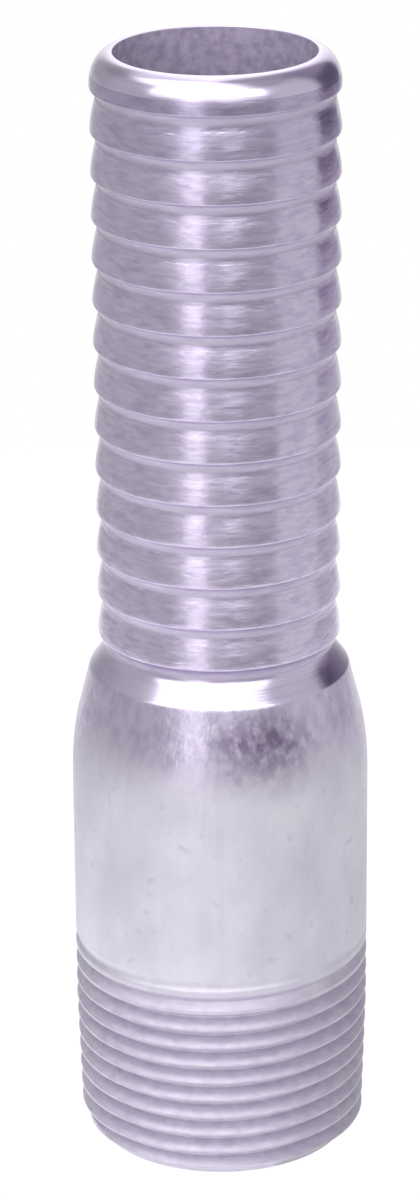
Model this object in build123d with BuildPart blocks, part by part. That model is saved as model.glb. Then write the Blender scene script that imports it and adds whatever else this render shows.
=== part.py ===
"""Combination hose nipple, 1 inch: taper pipe thread at one end, barbed hose shank at the other.

One piece of steel pipe. It stands on its threaded end, with +Z along the bore and the origin in
the middle of that end face. Lengths are in millimetres. The threaded end has the taper and bevel
that the thread's crests lie on, and the fine groove between them is left off.
"""
import os

from build123d import *

# Pipe body
PIPE_DIAMETER = 33.4
PIPE_WALL = 3.38
BODY_LENGTH = 48.1  # threaded end to the foot of the shoulder
BODY_BLEND = 20.0

# Threaded end
TAPER_LENGTH = 12.8
TAPER = 1 / 32  # radius lost along the axis
END_BEVEL = 1.78
END_REAM = 0.3

# Shoulder and neck, reduced from the pipe
SHOULDER_LENGTH = 8.9
SHOULDER_TOP_DIAMETER = 29.1
SHOULDER_ROUND = 0.9
BORE_STEP_DROP = 1.0  # the bore narrows this much nearer the thread than the outside does
NECK_LENGTH = 2.9
NECK_DEPTH = 0.18  # below the feet of the barbs

# Barbed shank
SHANK_BORE_DIAMETER = 22.0
BARB_COUNT = 14
BARB_PITCH = 4.775
BARB_DIAMETER = 27.1
BARB_HEIGHT = 0.62
BARB_LAND = 0.35
BARB_BACK = 1.25  # the steep side, which faces the shoulder
NOSE_LENGTH = 3.775  # highest crest to the mouth
NOSE_DROP = 0.15  # below the crests of the barbs
MOUTH_BEVEL = 0.8
RIM_FLAT = 0.1

pipe_radius = PIPE_DIAMETER / 2
pipe_bore_radius = pipe_radius - PIPE_WALL
taper_end_radius = pipe_radius - TAPER_LENGTH * TAPER
shank_bore_radius = SHANK_BORE_DIAMETER / 2
barb_radius = BARB_DIAMETER / 2
barb_foot_radius = barb_radius - BARB_HEIGHT
neck_radius = barb_foot_radius - NECK_DEPTH
nose_radius = barb_radius - NOSE_DROP
nose_round = nose_radius - RIM_FLAT - MOUTH_BEVEL - shank_bore_radius
neck_base = BODY_LENGTH + SHOULDER_LENGTH
lowest_crest = neck_base + NECK_LENGTH + BARB_BACK
highest_crest = lowest_crest + (BARB_COUNT - 1) * BARB_PITCH
mouth = highest_crest + NOSE_LENGTH


def barb_outline(crest_height, foot_radius):
    """One barb in section: the foot of its back, then the two ends of the land on its crest."""
    return [
        (foot_radius, crest_height - BARB_BACK),
        (barb_radius, crest_height),
        (barb_radius, crest_height + BARB_LAND),
    ]


# Each barb's ramp is the straight line from its land up to the foot of the next barb's back.
barbs = barb_outline(lowest_crest, neck_radius)
for step in range(1, BARB_COUNT):
    barbs += barb_outline(lowest_crest + step * BARB_PITCH, barb_foot_radius)

with BuildPart() as hose_nipple:
    # The wall in section, up the outside from the threaded end and down the stepped bore
    with BuildSketch(Plane.XZ) as wall:
        with BuildLine():
            Polyline(
                (pipe_bore_radius + END_REAM, 0),
                (taper_end_radius - END_BEVEL, 0),
                (taper_end_radius + END_BEVEL * TAPER, END_BEVEL),
                (pipe_radius, TAPER_LENGTH),
                (pipe_radius, BODY_LENGTH),
                (SHOULDER_TOP_DIAMETER / 2, neck_base),
                *barbs,
                (nose_radius, mouth - nose_round),
                (nose_radius, mouth),
                (shank_bore_radius + MOUTH_BEVEL, mouth),
                (shank_bore_radius, mouth - MOUTH_BEVEL),
                (shank_bore_radius, neck_base - BORE_STEP_DROP),
                (pipe_bore_radius, BODY_LENGTH - BORE_STEP_DROP),
                (pipe_bore_radius, END_REAM),
                close=True,
            )
        make_face()
        for radius, height, rounding in (
            (pipe_radius, BODY_LENGTH, BODY_BLEND),
            (pipe_bore_radius, BODY_LENGTH - BORE_STEP_DROP, BODY_BLEND),
            (SHOULDER_TOP_DIAMETER / 2, neck_base, SHOULDER_ROUND),
            (nose_radius, mouth, nose_round),
        ):
            fillet(wall.vertices().sort_by_distance((radius, height))[0], rounding)
    revolve(axis=Axis.Z)

hose_nipple.part.label = "hose_nipple"
os.makedirs("parts", exist_ok=True)
export_step(hose_nipple.part, "parts/hose_nipple.step")
print(f"length {mouth:.2f}, volume {hose_nipple.part.volume:.0f}, faces {len(hose_nipple.part.faces())}")
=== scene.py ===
"""Combination hose nipple, 1 inch: taper pipe thread below, barbed hose shank above.

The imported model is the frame. The nipple's shape and grain are drawn in millimetres. Places on it
that a finish reads, the studio and the camera are in metres. Heights run up +Z from the threaded
end, on the axis of the bore.
"""

import math

import bpy
import mathutils
import numpy as np
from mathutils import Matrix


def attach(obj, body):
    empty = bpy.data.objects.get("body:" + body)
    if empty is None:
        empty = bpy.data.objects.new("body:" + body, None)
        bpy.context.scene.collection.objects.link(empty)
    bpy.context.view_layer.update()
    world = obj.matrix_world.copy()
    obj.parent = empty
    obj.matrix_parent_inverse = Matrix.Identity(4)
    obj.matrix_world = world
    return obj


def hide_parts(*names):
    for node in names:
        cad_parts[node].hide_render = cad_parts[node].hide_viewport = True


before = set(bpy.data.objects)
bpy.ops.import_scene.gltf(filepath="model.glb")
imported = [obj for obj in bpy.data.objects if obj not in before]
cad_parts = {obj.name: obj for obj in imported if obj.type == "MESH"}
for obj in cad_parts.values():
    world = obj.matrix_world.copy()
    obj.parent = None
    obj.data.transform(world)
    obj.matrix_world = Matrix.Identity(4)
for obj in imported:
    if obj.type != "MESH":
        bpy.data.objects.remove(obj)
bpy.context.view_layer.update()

# ---------------------------------------------------------------------------------------------
# Hose nipple. One length of steel pipe: a taper pipe thread is cut on one end, and the other is
# squeezed down over a mandrel, then turned with fourteen one-way barbs and a rounded nose. The
# whole piece is zinc plated after machining, which leaves it a pale grey with a violet cast.
# ---------------------------------------------------------------------------------------------

MM = 0.001
COLUMNS = 200  # faces round the axis
SHARP_ANGLE = math.radians(40)

LENGTH = 127.0
PIPE_RADIUS = 16.7
PIPE_BORE_RADIUS = 13.32
SHANK_BORE_RADIUS = 11.0

# Thread, cut right-hand on a cone
THREAD_PITCH = 25.4 / 11.5
THREAD_TAPER = 1 / 32
THREAD_CREST_RADIUS = 16.2  # on the cone of crests, at the end face
THREAD_DEPTH = 1.4
THREAD_ROOT_FLAT = 0.24
THREAD_HALF_WIDTH = 0.95  # of the groove at its mouth, leaving a crest 0.31 wide
THREAD_FULL_HEIGHT = 20.5  # above this the groove runs out
THREAD_END_HEIGHT = 25.4
THREAD_START = math.radians(232)
THREAD_TOP = 27.0
EDGE_OUTSIDE = 0.05  # rows of points this far on either side of each crest edge
EDGE_INSIDE = 0.03
END_BEVEL_RADIUS = 14.52
END_REAM = 0.3

# Shoulder and neck: radius and height of each break in the outside
BLEND_FOOT, BLEND_CORNER, BLEND_HEAD = (PIPE_RADIUS, 44.2), (PIPE_RADIUS, 48.0), (15.93, 51.6)
SHOULDER_HEAD, SHOULDER_CORNER, SHOULDER_EDGE = (14.66, 56.6), (14.56, 57.0), (14.42, 57.17)
NECK_RADIUS = 12.75
NECK_FOOT, NECK_CORNER, NECK_HEAD = (13.42, 58.5), (12.86, 59.2), (NECK_RADIUS, 59.7)

# Barbs
BARB_COUNT = 14
BARB_PITCH = 4.775
FIRST_CREST = 61.15
LAST_CREST = FIRST_CREST + (BARB_COUNT - 1) * BARB_PITCH
CREST_RADIUS = 13.55
FOOT_RADIUS = 12.93
BARB_BACK = 1.25
BARB_LAND = 0.35
HOLLOW_OUT, HOLLOW_DROP = 0.1, 0.4  # corner of the hollow, from the wall and from the crest

# Nose and bore, down from the mouth
NOSE_HEIGHT = 3.3
NOSE_WIDTH = 2.4
MOUTH_EASE_WIDTH, MOUTH_EASE_DROP = 0.1, 0.15
SHANK_BORE_FOOT, CONE_TOP = (SHANK_BORE_RADIUS, 57.5), (11.36, 54.6)
CONE_TOP_CORNER = (SHANK_BORE_RADIUS, 56.0)
CONE_FOOT, PIPE_BORE_TOP = (12.9, 48.7), (PIPE_BORE_RADIUS, 44.6)
CONE_FOOT_CORNER = (PIPE_BORE_RADIUS, 47.0)


def run_out(height):
    """Share of the groove's run-out, from 0 where it begins to 1 where it ends."""
    return (height - THREAD_FULL_HEIGHT) / (THREAD_END_HEIGHT - THREAD_FULL_HEIGHT)


def crest_cone(height):
    """Radius of the thread's crests: it grows evenly up the taper until it meets the pipe."""
    return np.minimum(THREAD_CREST_RADIUS + height * THREAD_TAPER, PIPE_RADIUS)


def root_cone(height):
    """Radius of the thread's roots: one depth inside the crests' cone, then rising to the pipe.

    The rise is a straight line from the root where the run-out begins to the pipe where it ends.
    """
    end_root = THREAD_CREST_RADIUS - THREAD_DEPTH
    full = end_root + height * THREAD_TAPER
    foot = end_root + THREAD_FULL_HEIGHT * THREAD_TAPER
    share = run_out(height)
    return np.where(share > 0, foot + share * (PIPE_RADIUS - foot), full)


def groove_centre(angle, turn):
    """Height of the groove's middle: one pitch a turn, rising anticlockwise as seen from above."""
    return THREAD_PITCH * ((angle - THREAD_START) / (2 * math.pi) + turn)


def groove_half(height):
    """Half the groove's width at its mouth: it narrows by a third as the groove runs out."""
    return THREAD_HALF_WIDTH * (1 - np.clip(run_out(height), 0, 1) / 3)


def thread_radius(height, angle):
    """Radius of the threaded end: a V with a narrow flat at its root, sunk between the crests.

    The share of the way up the flank is the distance from the nearest groove's middle, less half
    the flat, over the flank's width. It carries the radius from the root cone to the crest cone.
    The bevel at the end face, one millimetre out for each one up, holds it down from there.
    """
    turns = (height - groove_centre(angle, 0)) / THREAD_PITCH
    distance = np.abs(turns - np.round(turns)) * THREAD_PITCH
    flat = THREAD_ROOT_FLAT / 2
    climb = np.clip((distance - flat) / (groove_half(height) - flat), 0, 1)
    crest, root = crest_cone(height), np.minimum(root_cone(height), crest_cone(height))
    return np.minimum(root + climb * (crest - root), END_BEVEL_RADIUS + height)


def thread_rows(angles):
    """Heights of the thread's rows, each one following the groove round.

    Each turn has rows at the groove's middle, at the edges of its flat, half-way up each flank, on
    both sides of each crest edge and at the crest's middle. All are held to the length of the
    threaded end, so that the rows beyond it close up and vanish.
    """
    turns = np.arange(-1, int(THREAD_TOP / THREAD_PITCH) + 3)
    centre = groove_centre(angles[None, :], turns[:, None])
    half = groove_half(centre)
    flat = np.full_like(half, THREAD_ROOT_FLAT / 2)
    crest = np.full_like(half, THREAD_PITCH / 2)
    offsets = [-half - EDGE_OUTSIDE, -half + EDGE_INSIDE, -(half + flat) / 2, -flat, 0 * flat,
               flat, (half + flat) / 2, half - EDGE_INSIDE, half + EDGE_OUTSIDE, crest]
    rows = np.stack([centre + offset for offset in offsets], axis=1)
    return np.clip(rows.reshape(-1, len(angles)), 0, THREAD_TOP)


def arc(start, corner, end, steps):
    """A corner rounded from start to end: a quadratic curve drawn towards the corner."""
    t = np.linspace(0, 1, steps)[:, None]
    start, corner, end = (np.array(point, float) for point in (start, corner, end))
    return (1 - t) ** 2 * start + 2 * t * (1 - t) * corner + t ** 2 * end


def run(start, end, steps):
    """Points evenly along a straight line, without its two ends."""
    t = np.linspace(0, 1, steps + 2)[1:-1, None]
    return (1 - t) * np.array(start, float) + t * np.array(end, float)


def barb_profile(crest_height, foot_radius, ramp_end):
    """One barb from its foot: the hollow back, a crest eased at both edges, then the long ramp.

    The back is a quadratic curve that starts along the wall and flares out to the crest. The ramp
    bows a little: it leaves the crest at half its mean slope and steepens evenly.
    """
    foot = np.array([foot_radius, crest_height - BARB_BACK])
    hollow_corner = (foot_radius + HOLLOW_OUT, crest_height - HOLLOW_DROP)
    crest = np.array([CREST_RADIUS, crest_height])
    land = np.array([CREST_RADIUS, crest_height + BARB_LAND])
    t = np.linspace(0, 1, 7)[:, None]
    ramp = land + np.hstack([0.5 * t + 0.5 * t ** 2, t]) * (ramp_end - land)
    return np.vstack([
        arc(foot, hollow_corner, crest - [0.05, 0.06], 8)[1:-1],
        arc(crest - [0.07, 0.08], crest, crest + [0, 0.12], 4),
        arc(land - [0, 0.1], land, ramp[1], 3),
        ramp[2:]])


def upper_profile():
    """The section above the thread, as radius and height: up the outside, then down the bore.

    The nose is a quarter of an ellipse, from upright on the last crest's radius to level at the
    mouth.
    """
    turn = np.linspace(0, math.pi / 2, 16)
    nose = np.stack([CREST_RADIUS - NOSE_WIDTH * (1 - np.cos(turn)),
                     LENGTH - NOSE_HEIGHT * (1 - np.sin(turn))], axis=1)
    crests = FIRST_CREST + BARB_PITCH * np.arange(BARB_COUNT)
    ramp_ends = [(FOOT_RADIUS, crest - BARB_BACK) for crest in crests[1:]] + [nose[0]]
    feet = [NECK_RADIUS] + [FOOT_RADIUS] * (BARB_COUNT - 1)
    mouth = (SHANK_BORE_RADIUS, LENGTH - MOUTH_EASE_DROP)
    ream = (PIPE_BORE_RADIUS, END_REAM)
    return np.vstack([
        run((PIPE_RADIUS, THREAD_TOP), BLEND_FOOT, 8),
        arc(BLEND_FOOT, BLEND_CORNER, BLEND_HEAD, 9),
        run(BLEND_HEAD, SHOULDER_HEAD, 5),
        arc(SHOULDER_HEAD, SHOULDER_CORNER, SHOULDER_EDGE, 4),
        run(SHOULDER_EDGE, NECK_FOOT, 2),
        arc(NECK_FOOT, NECK_CORNER, NECK_HEAD, 5),
        *[barb_profile(*barb) for barb in zip(crests, feet, ramp_ends)],
        nose,
        arc((SHANK_BORE_RADIUS + MOUTH_EASE_WIDTH, LENGTH), (SHANK_BORE_RADIUS, LENGTH), mouth, 4),
        run(mouth, SHANK_BORE_FOOT, 16),
        arc(SHANK_BORE_FOOT, CONE_TOP_CORNER, CONE_TOP, 4),
        run(CONE_TOP, CONE_FOOT, 4),
        arc(CONE_FOOT, CONE_FOOT_CORNER, PIPE_BORE_TOP, 5),
        run(PIPE_BORE_TOP, ream, 10),
        [ream, (PIPE_BORE_RADIUS + END_REAM, 0.0)],
    ])


def surface():
    """The whole skin, as points in millimetres and four-cornered faces.

    The thread's rows climb one pitch a turn, so the last column of each row lies on the first
    column of the row one turn higher. Every other row is a level ring. The last row, on the end
    face, joins the first.
    """
    angles = np.arange(COLUMNS + 1) * 2 * math.pi / COLUMNS
    heights = thread_rows(angles)
    radii = thread_radius(heights, angles[None, :])
    profile = upper_profile()
    ring = np.ones(COLUMNS + 1)
    heights = np.vstack([heights, profile[:, 1:] * ring])
    radii = np.vstack([radii, profile[:, :1] * ring])
    points = np.stack([radii * np.cos(angles), radii * np.sin(angles), heights], axis=2)
    lower = np.arange(heights.size).reshape(heights.shape)
    upper = np.roll(lower, -1, axis=0)
    faces = np.stack([lower[:, :-1], lower[:, 1:], upper[:, 1:], upper[:, :-1]], axis=2)
    return points.reshape(-1, 3), faces.reshape(-1, 4)


# Points that lie together become one, and a face keeps the corners that still differ
points, faces = surface()
points, merged = np.unique(np.round(points, 5), axis=0, return_inverse=True)
faces = merged.reshape(-1)[faces]
kept = faces != np.roll(faces, -1, axis=1)
whole = kept.sum(axis=1) > 2
faces, kept = faces[whole], kept[whole]
corner_count = kept.sum(axis=1)

mesh = bpy.data.meshes.new("hose_nipple_skin")
mesh.vertices.add(len(points))
mesh.vertices.foreach_set("co", (points * MM).ravel())
mesh.loops.add(int(corner_count.sum()))
mesh.loops.foreach_set("vertex_index", faces[kept].astype(np.int32))
mesh.polygons.add(len(faces))
mesh.polygons.foreach_set("loop_start", (np.cumsum(corner_count) - corner_count).astype(np.int32))
mesh.update(calc_edges=True)
mesh.validate()
mesh.shade_smooth()
mesh.set_sharp_from_angle(angle=SHARP_ANGLE)
nipple = bpy.data.objects.new("hose_nipple_skin", mesh)
bpy.context.collection.objects.link(nipple)


# Nodes for the finishes and the studio
def link(tree, node_type, settings=None, **inputs):
    """A new node with its settings, and each of its inputs set to a value or joined.

    An input goes by its name, with _ for a space, or by its place, such as i3, where names repeat.
    """
    node = tree.nodes.new(node_type)
    for name, value in (settings or {}).items():
        setattr(node, name, value)
    for name, value in inputs.items():
        by_place = name[0] == "i" and name[1:].isdigit()
        socket = node.inputs[int(name[1:]) if by_place else name.replace("_", " ")]
        if isinstance(value, bpy.types.NodeSocket):
            tree.links.new(value, socket)
        else:
            socket.default_value = value
    return node


def calculate(tree, operation, first, *others):
    """A sum, product or other operation on the first value and each of the others in turn.

    An operation on one value, such as ABSOLUTE, takes no others.
    """
    for other in others or (0.0,):
        node = link(tree, "ShaderNodeMath", {"operation": operation}, i0=first, i1=other)
        first = node.outputs[0]
    return first


def spread(tree, value, low, high, out_low=0.0, out_high=1.0):
    """A value carried evenly from one range to another, held at both ends."""
    return link(tree, "ShaderNodeMapRange",
                i0=value, i1=low, i2=high, i3=out_low, i4=out_high).outputs[0]


def blend(tree, share, first, second, mode="MIX"):
    """Two colours mixed by a share."""
    return link(tree, "ShaderNodeMix", {"data_type": "RGBA", "blend_type": mode},
                i0=share, i6=first, i7=second).outputs[2]


def position(tree):
    """Where a point lies on its object, in metres: the whole vector, then X, Y and Z."""
    place = link(tree, "ShaderNodeTexCoord").outputs["Object"]
    axes = link(tree, "ShaderNodeSeparateXYZ", Vector=place).outputs
    return place, axes["X"], axes["Y"], axes["Z"]


def grain(tree, size, height, detail=2.0, seed=(0.0, 0.0, 0.0)):
    """Noise in patches of one size along the surface and one height up it, both in millimetres."""
    scaled = link(tree, "ShaderNodeMapping", Vector=position(tree)[0], Location=seed,
                  Scale=(1 / (size * MM), 1 / (size * MM), 1 / (height * MM)))
    return link(tree, "ShaderNodeTexNoise", Vector=scaled.outputs[0],
                Scale=1.0, Detail=detail, Roughness=0.55).outputs["Fac"]


def finish(name):
    """A new metal finish: its material, its node tree and its shader."""
    material = bpy.data.materials.new(name)
    material.use_nodes = True
    shader = material.node_tree.nodes["Principled BSDF"]
    shader.inputs["Metallic"].default_value = 1.0
    return material, material.node_tree, shader


def dress(tree, shader, tone, rough, rise=None, depth=0.0):
    """Gives a finish its colour, its roughness and, if it has any, relief of a depth in metres."""
    tree.links.new(tone, shader.inputs["Base Color"])
    if isinstance(rough, bpy.types.NodeSocket):
        tree.links.new(rough, shader.inputs["Roughness"])
    else:
        shader.inputs["Roughness"].default_value = rough
    if rise is not None:
        bump = link(tree, "ShaderNodeBump", Strength=1.0, Distance=depth, Height=rise)
        tree.links.new(bump.outputs[0], shader.inputs["Normal"])


# Turned shank: fine tool lines round the piece, broken into short streaks. It darkens a little
# up the shank. The last ramp is darker again, and the metal above the last crest darker still.
SHANK_FADE = (0.068, 0.112)
LAST_RAMP_FADE = (0.1165, 0.1180)
NOSE_FADE = (0.1222, 0.1230)
turned, tree, shader = finish("turned_zinc")
streaks = grain(tree, 2.6, 0.5)
blotch = grain(tree, 2.3, 0.65, seed=(8.0, 3.0, 5.0))
lines = grain(tree, 9.0, 0.16, detail=1.0, seed=(3.0, 1.0, 7.0))
patches = grain(tree, 3.4, 2.4, detail=1.0, seed=(5.0, 2.0, 1.0))
tone = blend(tree, spread(tree, streaks, 0.36, 0.62), (0.62, 0.54, 0.745, 1), (0.70, 0.62, 0.82, 1))
tone = blend(tree, spread(tree, blotch, 0.34, 0.52, 0.6, 0.0), tone, (0.50, 0.43, 0.62, 1))
height = position(tree)[3]
fade = blend(tree, spread(tree, height, *SHANK_FADE), (1.095, 1.11, 1.075, 1), (0.99, 1.0, 0.98, 1))
fade = blend(tree, spread(tree, height, *LAST_RAMP_FADE), fade, (0.90, 0.92, 0.915, 1))
fade = blend(tree, spread(tree, height, *NOSE_FADE), fade, (0.80, 0.80, 0.83, 1))
tone = blend(tree, 1.0, tone, fade, "MULTIPLY")
rise = calculate(tree, "ADD", *[
    calculate(tree, "MULTIPLY", noise, weight)
    for noise, weight in ((patches, 2.2), (streaks, 0.7), (blotch, 1.6), (lines, 0.3))])
dress(tree, shader, tone, spread(tree, patches, 0.35, 0.65, 0.17, 0.25), rise, 0.000028)

# Pipe: matt as drawn, with fine pits and scratches along it; cut metal on the thread, darker than
# the drawn pipe partly as painted shade for its deep grooves; and burnished where it was squeezed,
# with one dark rub at the front
THREAD_FADE = (0.0225, 0.0285)
BURNISH_FADE = (0.0495, 0.0555)
RUB_CENTRE = (0.0050, -0.0152, 0.0508)
RUB_FADE = (0.0096, 0.0058)  # distance from its centre
pipe, tree, shader = finish("pipe_zinc")
place, _, _, height = position(tree)
cloud = grain(tree, 5.0, 7.0, detail=3.0, seed=(1.0, 4.0, 2.0))
fine = grain(tree, 0.6, 0.6, seed=(2.0, 2.0, 2.0))
mottle = grain(tree, 1.1, 1.7, seed=(6.0, 2.0, 3.0))
scratch = grain(tree, 0.5, 12.0, detail=1.0, seed=(1.0, 8.0, 3.0))
pit = grain(tree, 1.4, 1.4, detail=0.0, seed=(9.0, 8.0, 3.0))
tool = grain(tree, 1.4, 0.5, seed=(2.0, 5.0, 2.0))
drifting_height = calculate(tree, "ADD", height, calculate(tree, "MULTIPLY", cloud, 0.006))
burnish = spread(tree, drifting_height, *BURNISH_FADE)
drawn = spread(tree, drifting_height, *THREAD_FADE)
plain = blend(tree, spread(tree, cloud, 0.3, 0.7), (0.655, 0.625, 0.725, 1), (0.745, 0.72, 0.81, 1))
plain = blend(tree, spread(tree, pit, 0.72, 0.88, 0.0, 0.5), plain, (0.50, 0.46, 0.58, 1))
plain = blend(tree, spread(tree, scratch, 0.62, 0.76, 0.0, 0.2), plain, (0.55, 0.51, 0.62, 1))
# Thread: tool marks, and a tone darker than the drawn pipe, partly as painted shade for the deep
# grooves
tooled_and_shaded = blend(tree, spread(tree, tool, 0.3, 0.7),
               (0.574, 0.537, 0.648, 1), (0.677, 0.640, 0.739, 1))
worn = blend(tree, spread(tree, mottle, 0.34, 0.64), (0.58, 0.51, 0.69, 1), (0.69, 0.625, 0.785, 1))
rubbed = blend(tree, spread(tree, mottle, 0.42, 0.68), (0.29, 0.23, 0.37, 1), (0.60, 0.53, 0.70, 1))
reach = link(tree, "ShaderNodeVectorMath", {"operation": "DISTANCE"}, i0=place, i1=RUB_CENTRE)
reach = calculate(tree, "ADD", reach.outputs["Value"], calculate(tree, "MULTIPLY", cloud, 0.005))
worn = blend(tree, spread(tree, reach, *RUB_FADE), worn, rubbed)
tone = blend(tree, drawn, tooled_and_shaded, blend(tree, burnish, plain, worn))
rough = calculate(tree, "SUBTRACT", spread(tree, drawn, 0.0, 1.0, 0.62, 0.55),
                  calculate(tree, "MULTIPLY", burnish, 0.28))
rise = calculate(tree, "ADD", fine, calculate(tree, "MULTIPLY", burnish, 3.0, mottle))
dress(tree, shader, tone, rough, rise, 0.00002)

# Bore: rough and dull, with little shine left
bored, tree, shader = finish("bore_zinc")
shader.inputs["Metallic"].default_value = 0.25
fine = grain(tree, 1.1, 1.1, detail=3.0, seed=(2.0, 5.0, 6.0))
tone = blend(tree, spread(tree, fine, 0.35, 0.65), (0.35, 0.30, 0.43, 1), (0.50, 0.44, 0.575, 1))
dress(tree, shader, tone, 0.6, fine, 0.00004)

# Back of each barb: left dull by the side of the tool, and coloured darker than the ramps as
# painted shade under each crest
dull_and_shaded, tree, shader = finish("dull_shaded_zinc")
fine = grain(tree, 2.0, 0.4, seed=(4.0, 5.0, 6.0))
# The darker tone is painted shade under the crest; the roughness is the dull finish of the tool's
# side
tone = blend(tree, spread(tree, fine, 0.3, 0.7), (0.51, 0.455, 0.60, 1), (0.59, 0.535, 0.68, 1))
dress(tree, shader, tone, 0.4)

# Neck and nose: faced smooth, with fine rings, and painted shade on the neck's right side, standing
# in for the dark reflection and shade there
PAINTED_SHADE_EDGE = (0.0108, 0.0122)
PAINTED_SHADE_TOP = (0.07, 0.065)
faced, tree, shader = finish("faced_zinc")
lines = grain(tree, 9.0, 0.2, detail=1.0, seed=(3.0, 1.0, 7.0))
tone = blend(tree, spread(tree, lines, 0.3, 0.7), (0.66, 0.585, 0.78, 1), (0.72, 0.65, 0.83, 1))
_, across, _, height = position(tree)
# Painted shade: the neck's right side is darkened in colour, for the dark reflection and shade that
# fall there
painted_shade = calculate(tree, "MULTIPLY",
                  spread(tree, across, *PAINTED_SHADE_EDGE), spread(tree, height, *PAINTED_SHADE_TOP))
dress(tree, shader, blend(tree, painted_shade, tone, (0.29, 0.24, 0.37, 1)), 0.2, lines, 0.000008)

# Which finish each face has, by the radius and height of its middle
PIPE_TOP = 57.2
NECK_LOW, NECK_HIGH = 57.1, 60.0
NOSE_FACED = 124.6  # the nose is faced smooth above this
MOUTH_EDGE = 126.9
WALL_MIDDLE = 12.0  # a radius inside the shank's wall
PIPE_BORE_LIMIT = 13.4
PIPE_BORE_HIGH = 50.0
SHANK_BORE_LIMIT = 11.05
BACK_LIMIT = BARB_BACK + 0.01
finishes = (turned, pipe, bored, dull_and_shaded, faced)
for material in finishes:
    mesh.materials.append(material)
middle = (points[faces] * kept[..., None]).sum(axis=1) / corner_count[:, None]
radius, height = np.hypot(middle[:, 0], middle[:, 1]), middle[:, 2]
outside = radius > WALL_MIDDLE
bore = ((radius < PIPE_BORE_LIMIT) & (height < PIPE_BORE_HIGH)
        | ~outside & (height < NECK_HIGH)
        | (radius < SHANK_BORE_LIMIT) & (height < MOUTH_EDGE))
first_foot = FIRST_CREST - BARB_BACK
back = (outside & (height > first_foot) & (height < LAST_CREST)
        & ((height - first_foot) % BARB_PITCH < BACK_LIMIT))
smooth = outside & (height > NECK_LOW) & (height < NECK_HIGH) | (height > NOSE_FACED)
chosen = np.select([bore, back, smooth, height < PIPE_TOP],
                   [finishes.index(choice) for choice in (bored, dull_and_shaded, faced, pipe)],
                   finishes.index(turned))
mesh.polygons.foreach_set("material_index", chosen.astype(np.int32))

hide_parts("hose_nipple")
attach(nipple, "root")

# ---------------------------------------------------------------------------------------------
# Studio. A pale round floor, a curved dark card behind on the right, and a surround. The camera
# sees plain white, and the metal sees light and dark bands. Bearings are in degrees, 0 towards
# the camera and 90 to the right.
# ---------------------------------------------------------------------------------------------
FLOOR_RADIUS = 0.24
FLOOR_SIDES = 128
rim = np.arange(FLOOR_SIDES) * 2 * math.pi / FLOOR_SIDES
rim_points = np.stack([FLOOR_RADIUS * np.cos(rim), FLOOR_RADIUS * np.sin(rim), 0 * rim], axis=1)
floor_mesh = bpy.data.meshes.new("floor")
floor_mesh.from_pydata(rim_points.tolist(), [], [tuple(range(FLOOR_SIDES))])
floor = bpy.data.objects.new("floor", floor_mesh)
bpy.context.collection.objects.link(floor)


def bearing_of(tree, across, along):
    """Bearing of a direction, in radians, from its X and its Y."""
    return calculate(tree, "ARCTAN2", across, calculate(tree, "MULTIPLY", along, -1.0))


def turning(tree, bearing, low, high):
    """Share from 0 to 1 as a bearing goes from one value to another, in degrees."""
    return spread(tree, bearing, math.radians(low), math.radians(high))


# The floor glows, though it is no lamp. The camera sees it white, with a faint real shadow. The
# metal sees painted light and shade on it: a painted light stripe far off at the front left,
# painted light behind and in a patch on the left near the piece, a painted glow near the piece that
# dims far off, and a painted shadow on the right near the piece.
paint = bpy.data.materials.new("floor_white")
paint.use_nodes = True
tree = paint.node_tree
diffuse = tree.nodes["Principled BSDF"]
diffuse.inputs["Base Color"].default_value = (0.85, 0.85, 0.85, 1)
diffuse.inputs["Roughness"].default_value = 1.0
CAMERA_SHARE, METAL_SHARE = 0.93, 0.7  # of the floor's look that comes from its glow
GLOW, SHADED_GLOW = 1.05, 0.55
ray = link(tree, "ShaderNodeLightPath").outputs
seen = calculate(tree, "ADD", calculate(tree, "MULTIPLY", ray["Is Camera Ray"], CAMERA_SHARE),
                 calculate(tree, "MULTIPLY", ray["Is Glossy Ray"], METAL_SHARE))
place, across, along, _ = position(tree)
bearing = bearing_of(tree, across, along)
reach = link(tree, "ShaderNodeVectorMath", {"operation": "LENGTH"}, i0=place).outputs["Value"]
far = spread(tree, reach, 0.115, 0.15)
near = spread(tree, reach, 0.075, 0.055)
front_stripe = calculate(tree, "MULTIPLY", turning(tree, bearing, -46, -34),
                         turning(tree, bearing, -8, -16), far)
behind = turning(tree, calculate(tree, "ABSOLUTE", bearing), 136, 168)
left_patch = calculate(tree, "MULTIPLY", turning(tree, bearing, -150, -120),
                       turning(tree, bearing, -70, -90), spread(tree, reach, 0.09, 0.06))
bands = calculate(tree, "ADD", *[
    calculate(tree, "MULTIPLY", band, strength) for band, strength in (
        (front_stripe, 0.8), (behind, 0.6), (far, -0.42), (left_patch, 0.45), (near, 0.25))])
bands = calculate(tree, "MULTIPLY", bands, ray["Is Glossy Ray"])
right_shade = calculate(tree, "MULTIPLY", turning(tree, bearing, 23, 27),
                        spread(tree, reach, 0.090, 0.062), ray["Is Glossy Ray"])
base = spread(tree, right_shade, 0.0, 1.0, GLOW, SHADED_GLOW)
glow = link(tree, "ShaderNodeEmission", Strength=calculate(tree, "ADD", base, bands))
mix = link(tree, "ShaderNodeMixShader", i0=seen, i1=diffuse.outputs[0], i2=glow.outputs[0])
tree.links.new(mix.outputs[0], tree.nodes["Material Output"].inputs["Surface"])
floor_mesh.materials.append(paint)

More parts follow.
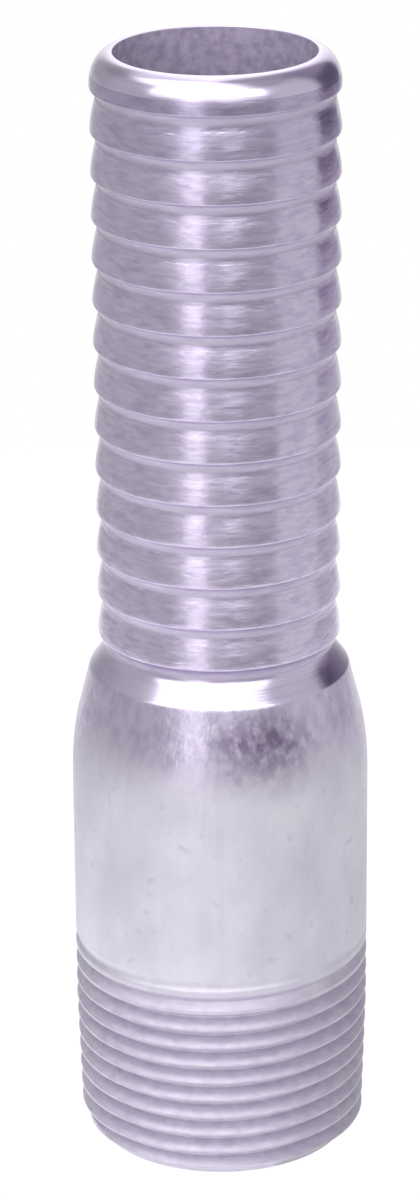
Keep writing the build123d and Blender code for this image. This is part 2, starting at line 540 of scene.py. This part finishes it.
# Dark card, upright and curved round the piece, which only the metal sees
CARD_RADIUS = 0.15
CARD_HEIGHTS = (0.07, 0.34)
CARD_BEARINGS = (106, 148)
CARD_STEPS = 15
turn, height = np.meshgrid(np.radians(np.linspace(*CARD_BEARINGS, CARD_STEPS)), CARD_HEIGHTS)
card_points = np.stack([CARD_RADIUS * np.sin(turn), -CARD_RADIUS * np.cos(turn), height], axis=2)
step = np.arange(CARD_STEPS - 1)
card_faces = np.stack([step, step + 1, step + 1 + CARD_STEPS, step + CARD_STEPS], axis=1)
card_mesh = bpy.data.meshes.new("card")
card_mesh.from_pydata(card_points.reshape(-1, 3).tolist(), [], card_faces.tolist())
card = bpy.data.objects.new("card", card_mesh)
bpy.context.collection.objects.link(card)
felt = bpy.data.materials.new("card_grey")
felt.use_nodes = True
tree = felt.node_tree
height = position(tree)[3]
tone = blend(tree, spread(tree, height, 0.080, 0.118), (0.46, 0.42, 0.50, 1), (0.11, 0.09, 0.14, 1))
tone = blend(tree, spread(tree, height, 0.175, 0.205), tone, (0.30, 0.27, 0.34, 1))
dress(tree, tree.nodes["Principled BSDF"], tone, 1.0)
card_mesh.materials.append(felt)
card.visible_camera = False
card.visible_diffuse = False
card.visible_shadow = False

# Surround: brightness by bearing at four levels, from below the piece to overhead
BELOW = [(-180, 1.0), (-165, 0.85), (-150, 0.55), (-75, 0.53), (-44, 0.53), (-34, 0.68),
         (-27, 1.1), (-15, 1.2), (-10, 0.6), (4, 0.5), (24, 0.43), (54, 0.45), (57, 0.69),
         (104, 0.69), (107, 0.52), (150, 0.6), (165, 0.9), (180, 1.0)]
LEVEL = [(-180, 1.3), (-168, 1.0), (-156, 0.46), (-140, 0.4), (-122, 0.44), (-108, 0.53),
         (-84, 0.53), (-60, 0.5), (-44, 0.56), (-34, 0.8), (-27, 1.4), (-15, 1.5), (-10, 0.68),
         (4, 0.68), (8, 1.0), (22, 0.75), (30, 0.5), (54, 0.5), (57, 0.68), (104, 0.68),
         (107, 0.5), (146, 0.5), (156, 0.8), (170, 1.2), (180, 1.3)]
ABOVE = [(-180, 2.0), (-168, 1.3), (-156, 0.45), (-140, 0.3), (-125, 0.33), (-108, 0.5),
         (-84, 0.55), (-67, 0.6), (-65, 2.6), (49, 2.6), (51, 0.68), (104, 0.62), (107, 0.3),
         (146, 0.33), (158, 0.6), (168, 1.5), (180, 2.0)]
OVERHEAD = [(-180, 1.7), (-140, 1.0), (-122, 0.8), (-108, 1.9), (32, 1.9), (48, 0.6), (60, 0.42),
            (150, 0.42), (166, 1.2), (180, 1.6)]
world = bpy.data.worlds.new("studio")
bpy.context.scene.world = world
world.use_nodes = True
tree = world.node_tree
direction = link(tree, "ShaderNodeSeparateXYZ",
                 Vector=link(tree, "ShaderNodeTexCoord").outputs["Generated"]).outputs
round_share = turning(tree, bearing_of(tree, direction["X"], direction["Y"]), -180, 180)


def surround(stops):
    """Brightness round the piece at one level, from pairs of a bearing and a brightness."""
    ring = link(tree, "ShaderNodeValToRGB", i0=round_share)
    band = ring.color_ramp.elements
    for degrees, _ in stops[1:-1]:
        band.new(degrees / 360 + 0.5)
    for stop, (_, brightness) in zip(band, stops):
        stop.color = (brightness, brightness, brightness, 1)
    return ring.outputs[0]


def rising(low, high):
    """Share from 0 to 1 as the direction climbs between two elevations, in degrees."""
    return spread(tree, direction["Z"], math.sin(math.radians(low)), math.sin(math.radians(high)))


light = blend(tree, rising(-4, 4), surround(BELOW), surround(LEVEL))
light = blend(tree, rising(16, 30), light, surround(ABOVE))
light = blend(tree, rising(40, 50), light, surround(OVERHEAD))
ray = link(tree, "ShaderNodeLightPath").outputs
tree.links.new(blend(tree, ray["Is Camera Ray"], light, (1, 1, 1, 1)),
               tree.nodes["Background"].inputs["Color"])

bpy.context.scene.view_settings.view_transform = "Standard"

# ---------------------------------------------------------------------------------------------
# Camera. A long lens, looking down on the mouth of the shank.
# ---------------------------------------------------------------------------------------------
CAMERA_PLACE = mathutils.Vector((0, -0.44225, 0.2350))
PITCH = math.radians(-21.108)
ROLL = math.radians(-0.449)
YAW = math.radians(0.152)
forward = mathutils.Vector((-math.sin(YAW) * math.cos(PITCH),
                            math.cos(YAW) * math.cos(PITCH), math.sin(PITCH)))
side = mathutils.Vector((math.cos(YAW), math.sin(YAW), 0))
up = side.cross(forward)
right = math.cos(ROLL) * side + math.sin(ROLL) * up
top = -math.sin(ROLL) * side + math.cos(ROLL) * up
lens = bpy.data.cameras.new("camera")
lens.lens = 127.30
lens.clip_end = 30
camera = bpy.data.objects.new("camera", lens)
bpy.context.collection.objects.link(camera)
facing = mathutils.Matrix((right, top, -forward)).transposed().to_4x4()
camera.matrix_world = mathutils.Matrix.Translation(CAMERA_PLACE) @ facing
bpy.context.scene.camera = camera
